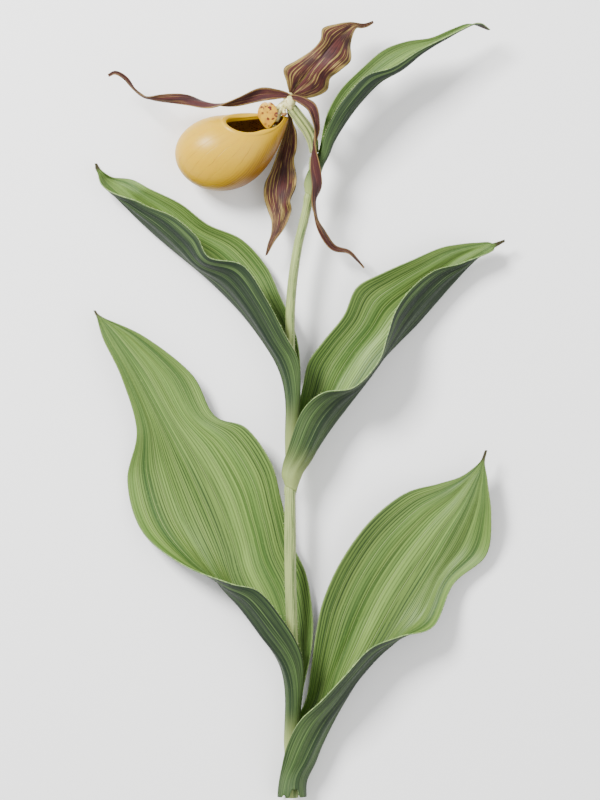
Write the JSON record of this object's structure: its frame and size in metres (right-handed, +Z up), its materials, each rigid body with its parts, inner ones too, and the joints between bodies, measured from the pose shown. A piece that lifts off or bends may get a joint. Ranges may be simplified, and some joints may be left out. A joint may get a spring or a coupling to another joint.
{
  "type": "lady's slipper orchid stem",
  "caption": "Cut flowering shoot of a slipper orchid lying on its side: pleated clasping leaves, a leafy bract, twisted narrow petals and a hollow inflated pouch lip.",
  "frame": {"origin": "centre of the shoot's outline on the surface it lies on", "axes": "+Y along the shoot from its cut foot to its flower, +Z up from the surface, +X to the right as drawn"},
  "size_m": [0.1658, 0.3116, 0.0274],
  "materials": {
    "stem": "matt, finely hairy pale green",
    "leaf": "satin mid green, ribbed",
    "ovary": "matt pale green",
    "petal": "satin purple brown",
    "lip": "waxy yellow",
    "column": "satin cream",
    "staminode": "satin yellow with red-brown spots"
  },
  "bodies": {
    "root": {"stem": "stem", "leaf_lower_left": "leaf", "leaf_lower_right": "leaf", "leaf_upper_left": "leaf", "leaf_upper_right": "leaf", "bract": "leaf", "ovary": "ovary", "dorsal_sepal": "petal", "synsepal": "petal", "petal_left": "petal", "petal_right": "petal", "lip": "lip", "column": "column", "staminode": "staminode", "anther_near": "column", "anther_far": "column", "stigma": "column"}
  },
  "joints": []
}
